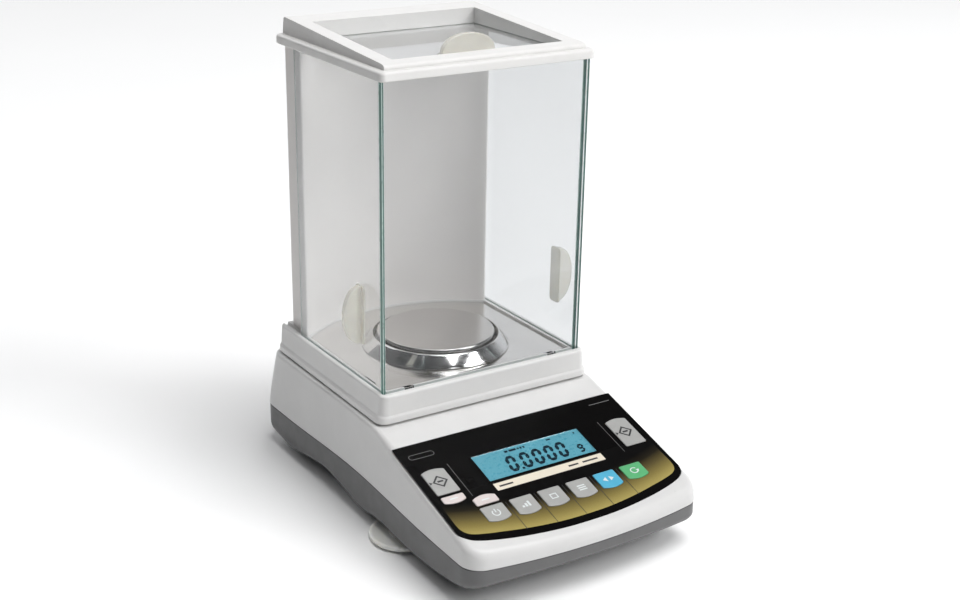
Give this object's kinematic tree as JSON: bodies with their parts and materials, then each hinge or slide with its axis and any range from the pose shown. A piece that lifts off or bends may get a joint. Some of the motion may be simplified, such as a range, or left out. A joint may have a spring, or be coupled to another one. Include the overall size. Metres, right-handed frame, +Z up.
{
  "type": "analytical balance",
  "caption": "Bench analytical balance: sloped keypad and display, glass draft shield with sliding side and top doors, round weighing pan, levelling feet.",
  "frame": {"origin": "on the table surface, under the middle of the footprint", "axes": "+Z up, -Y toward the user (keypad side), +X to the user's right when facing the keypad"},
  "size_m": [0.224, 0.3496, 0.3699],
  "materials": {
    "housing_white": "fine satin moulded ABS",
    "housing_dark": "dark grey satin moulded ABS",
    "plinth_white": "satin moulded plastic",
    "glass_clear": "clear float glass with polished edges",
    "lens_clear": "clear acrylic display lens",
    "floor_steel": "satin stainless sheet",
    "pan_steel": "turned satin stainless",
    "ring_chrome": "polished",
    "hardware_steel": "zinc plated",
    "handle_cream": "translucent cream acrylic",
    "overlay_black": "screen-printed polyester film",
    "display_blue": "backlit liquid crystal display",
    "key_grey": "embossed membrane key",
    "key_pale": "embossed membrane key",
    "key_blue": "embossed membrane key",
    "key_green": "embossed membrane key",
    "board_green": "printed circuit board",
    "circuit_film": "membrane switch film",
    "part_black": "moulded black plastic",
    "cell_aluminium": "milled",
    "coil_copper": "enamelled copper winding",
    "magnet_steel": "plated magnet yoke",
    "nut_brass": "turned",
    "foot_rubber": "moulded"
  },
  "bodies": {
    "base": {"lower_housing": "housing_dark", "upper_housing": "housing_white", "shield_base": "plinth_white", "rear_column": "housing_white", "chamber_floor_plate": "floor_steel", "draft_ring": "ring_chrome", "top_cap": "housing_white", "front_glass": "glass_clear", "keypad_overlay": "overlay_black", "membrane_circuit": "circuit_film", "lcd_window": "lens_clear", "lcd_module": "display_blue", "display_board": "board_green", "main_board": "board_green", "rear_io_plate": "part_black", "dc_power_inlet": "part_black", "serial_port": "hardware_steel", "usb_port": "hardware_steel", "cell_base_plate": "cell_aluminium", "cell_frame": "cell_aluminium", "cell_guide_upper": "cell_aluminium", "cell_guide_lower": "cell_aluminium", "cell_fulcrum": "cell_aluminium", "cell_magnet_pot": "magnet_steel", "cell_position_sensor": "part_black", "left_foot_nut": "nut_brass", "right_foot_nut": "nut_brass", "left_rear_foot": "foot_rubber", "right_rear_foot": "foot_rubber", "case_screw_1": "hardware_steel", "case_screw_2": "hardware_steel", "case_screw_3": "hardware_steel", "case_screw_4": "hardware_steel"},
    "left_door": {"left_door_glass": "glass_clear", "left_door_handle": "handle_cream"},
    "right_door": {"right_door_glass": "glass_clear", "right_door_handle": "handle_cream"},
    "top_door": {"top_door_glass": "glass_clear", "top_door_handle": "handle_cream"},
    "pan": {"weighing_pan": "pan_steel", "pan_carrier": "cell_aluminium", "cell_receiver": "cell_aluminium"},
    "lever": {"cell_lever": "cell_aluminium", "cell_coil": "coil_copper"},
    "key_tare_left": {"key_tare_left": "key_grey"},
    "key_aux_left": {"key_aux_left": "key_pale"},
    "key_tare_right": {"key_tare_right": "key_grey"},
    "key_power_cap": {"key_power_cap": "key_pale"},
    "key_1": {"key_1": "key_grey"},
    "key_2": {"key_2": "key_grey"},
    "key_3": {"key_3": "key_grey"},
    "key_4": {"key_4": "key_grey"},
    "key_5": {"key_5": "key_blue"},
    "key_6": {"key_6": "key_green"},
    "left_foot": {"left_foot_pad": "foot_rubber"},
    "left_wheel": {"left_foot_wheel": "handle_cream", "left_foot_stem": "hardware_steel"},
    "right_foot": {"right_foot_pad": "foot_rubber"},
    "right_wheel": {"right_foot_wheel": "handle_cream", "right_foot_stem": "hardware_steel"}
  },
  "joints": [
    {"name": "left_door_slide", "type": "slide", "parent": "base", "child": "left_door", "axis": [0, 1, 0], "range_m": [0, 0.11]},
    {"name": "right_door_slide", "type": "slide", "parent": "base", "child": "right_door", "axis": [0, 1, 0], "range_m": [0, 0.11]},
    {"name": "top_door_slide", "type": "slide", "parent": "base", "child": "top_door", "axis": [0, 1, 0], "range_m": [0, 0.098]},
    {"name": "pan_travel", "type": "slide", "parent": "base", "child": "pan", "axis": [0, 0, 1], "range_m": [-0.0003, 0], "stiffness_N_per_m": 100000, "springref_m": 0.00005},
    {"name": "lever_tilt", "type": "hinge", "parent": "base", "child": "lever", "pos_m": [0, 0.074, 0.052], "axis": [1, 0, 0], "range_deg": [-0.1, 1.4]},
    {"name": "key_tare_left_press", "type": "slide", "parent": "base", "child": "key_tare_left", "axis": [0, 0.2706, -0.9627], "range_m": [0, 0.0005], "stiffness_N_per_m": 2000, "springref_m": -0.0002},
    {"name": "key_aux_left_press", "type": "slide", "parent": "base", "child": "key_aux_left", "axis": [0, 0.2706, -0.9627], "range_m": [0, 0.0005], "stiffness_N_per_m": 2000, "springref_m": -0.0002},
    {"name": "key_tare_right_press", "type": "slide", "parent": "base", "child": "key_tare_right", "axis": [0, 0.2706, -0.9627], "range_m": [0, 0.0005], "stiffness_N_per_m": 2000, "springref_m": -0.0002},
    {"name": "key_power_cap_press", "type": "slide", "parent": "base", "child": "key_power_cap", "axis": [0, 0.2706, -0.9627], "range_m": [0, 0.0005], "stiffness_N_per_m": 2000, "springref_m": -0.0002},
    {"name": "key_1_press", "type": "slide", "parent": "base", "child": "key_1", "axis": [0, 0.2706, -0.9627], "range_m": [0, 0.0005], "stiffness_N_per_m": 2000, "springref_m": -0.0002},
    {"name": "key_2_press", "type": "slide", "parent": "base", "child": "key_2", "axis": [0, 0.2706, -0.9627], "range_m": [0, 0.0005], "stiffness_N_per_m": 2000, "springref_m": -0.0002},
    {"name": "key_3_press", "type": "slide", "parent": "base", "child": "key_3", "axis": [0, 0.2706, -0.9627], "range_m": [0, 0.0005], "stiffness_N_per_m": 2000, "springref_m": -0.0002},
    {"name": "key_4_press", "type": "slide", "parent": "base", "child": "key_4", "axis": [0, 0.2706, -0.9627], "range_m": [0, 0.0005], "stiffness_N_per_m": 2000, "springref_m": -0.0002},
    {"name": "key_5_press", "type": "slide", "parent": "base", "child": "key_5", "axis": [0, 0.2706, -0.9627], "range_m": [0, 0.0005], "stiffness_N_per_m": 2000, "springref_m": -0.0002},
    {"name": "key_6_press", "type": "slide", "parent": "base", "child": "key_6", "axis": [0, 0.2706, -0.9627], "range_m": [0, 0.0005], "stiffness_N_per_m": 2000, "springref_m": -0.0002},
    {"name": "left_foot_height", "type": "slide", "parent": "base", "child": "left_foot", "axis": [0, 0, 1], "range_m": [-0.00402, 0.00152]},
    {"name": "left_foot_turn", "type": "hinge", "parent": "left_foot", "child": "left_wheel", "pos_m": [-0.0843, -0.0426, 0], "axis": [0, 0, 1], "range_deg": [-1440, 540]},
    {"name": "right_foot_height", "type": "slide", "parent": "base", "child": "right_foot", "axis": [0, 0, 1], "range_m": [-0.00402, 0.00152]},
    {"name": "right_foot_turn", "type": "hinge", "parent": "right_foot", "child": "right_wheel", "pos_m": [0.0843, -0.0426, 0], "axis": [0, 0, 1], "range_deg": [-1440, 540]}
  ],
  "couplings": [
    {"joint": "lever_tilt", "follows": "pan_travel", "rad_per_m": -71.4},
    {"joint": "left_foot_height", "follows": "left_foot_turn", "m_per_rad": 0.00015915},
    {"joint": "right_foot_height", "follows": "right_foot_turn", "m_per_rad": 0.00015915}
  ]
}
